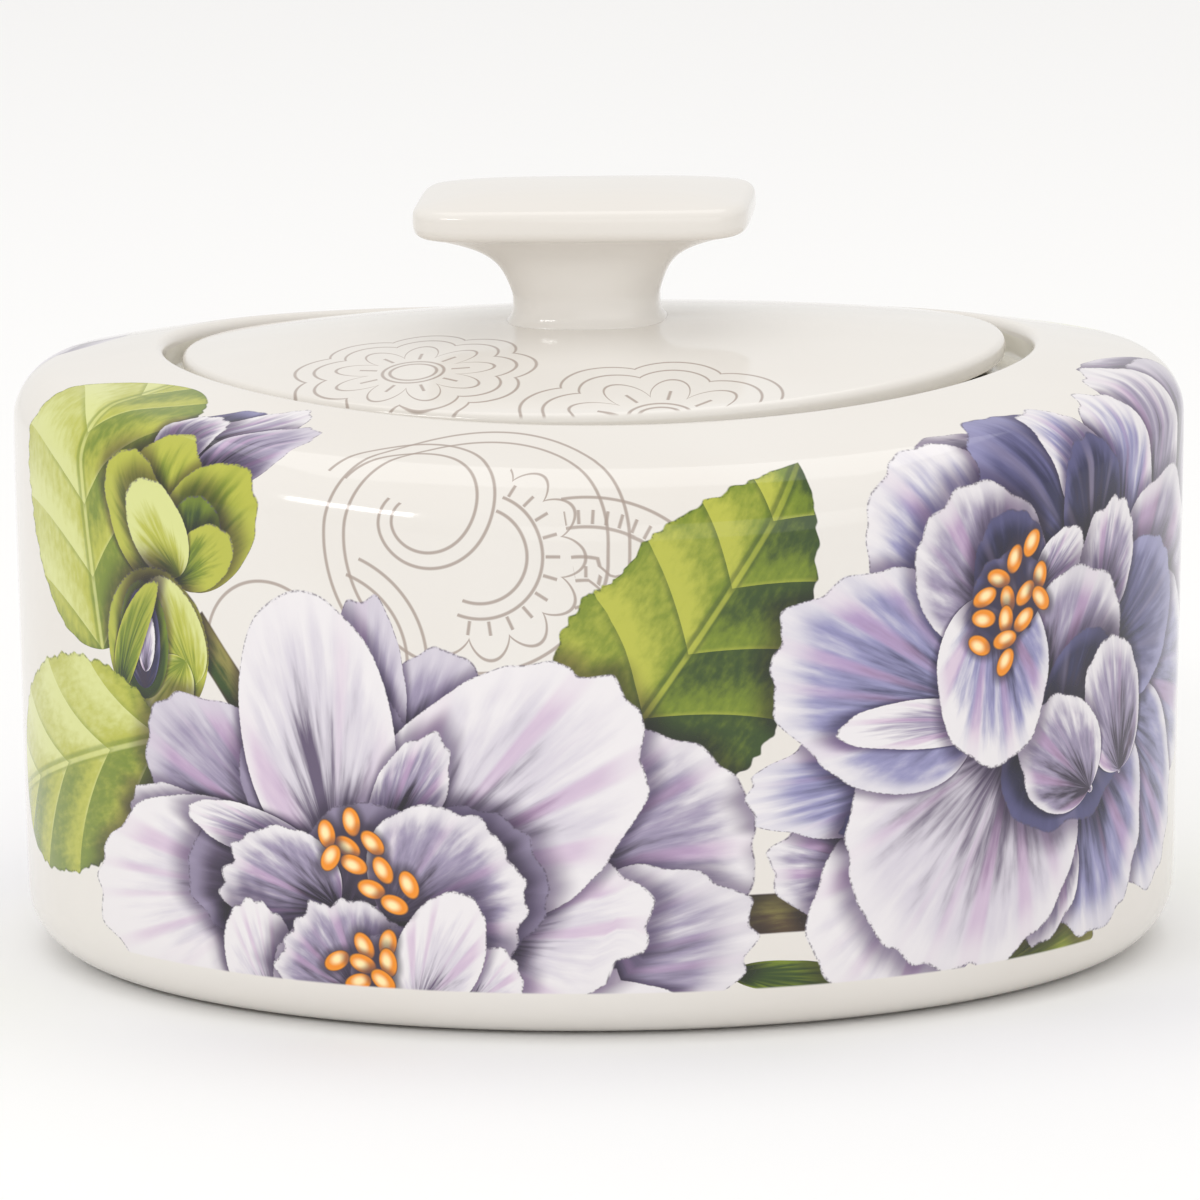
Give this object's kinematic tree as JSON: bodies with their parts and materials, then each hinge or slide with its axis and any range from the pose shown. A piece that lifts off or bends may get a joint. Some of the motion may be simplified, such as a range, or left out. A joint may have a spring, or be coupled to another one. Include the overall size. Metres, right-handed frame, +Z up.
{
  "type": "lidded sugar bowl",
  "caption": "Oval porcelain sugar bowl with straight walls, rounded shoulder, recessed lid and a flat T-shaped bar knob.",
  "frame": {"origin": "centre of the oval foot, on the surface the bowl stands on", "axes": "+X along the long axis of the oval and of the knob's bar, +Z up out of the mouth"},
  "size_m": [0.125, 0.1, 0.082],
  "materials": {
    "bowl_glaze": "high gloss transparent glaze over off-white porcelain with floral decor",
    "lid_glaze": "high gloss transparent glaze over off-white porcelain with fine line decor",
    "knob_glaze": "high gloss transparent glaze over off-white porcelain"
  },
  "bodies": {
    "bowl_body": {"bowl": "bowl_glaze"},
    "lid_body": {"lid": "lid_glaze", "knob": "knob_glaze"}
  },
  "joints": [
    {"name": "lid_lift", "type": "slide", "parent": "bowl_body", "child": "lid_body", "axis": [0, 0, 1], "range_m": [0, 0.06]}
  ]
}
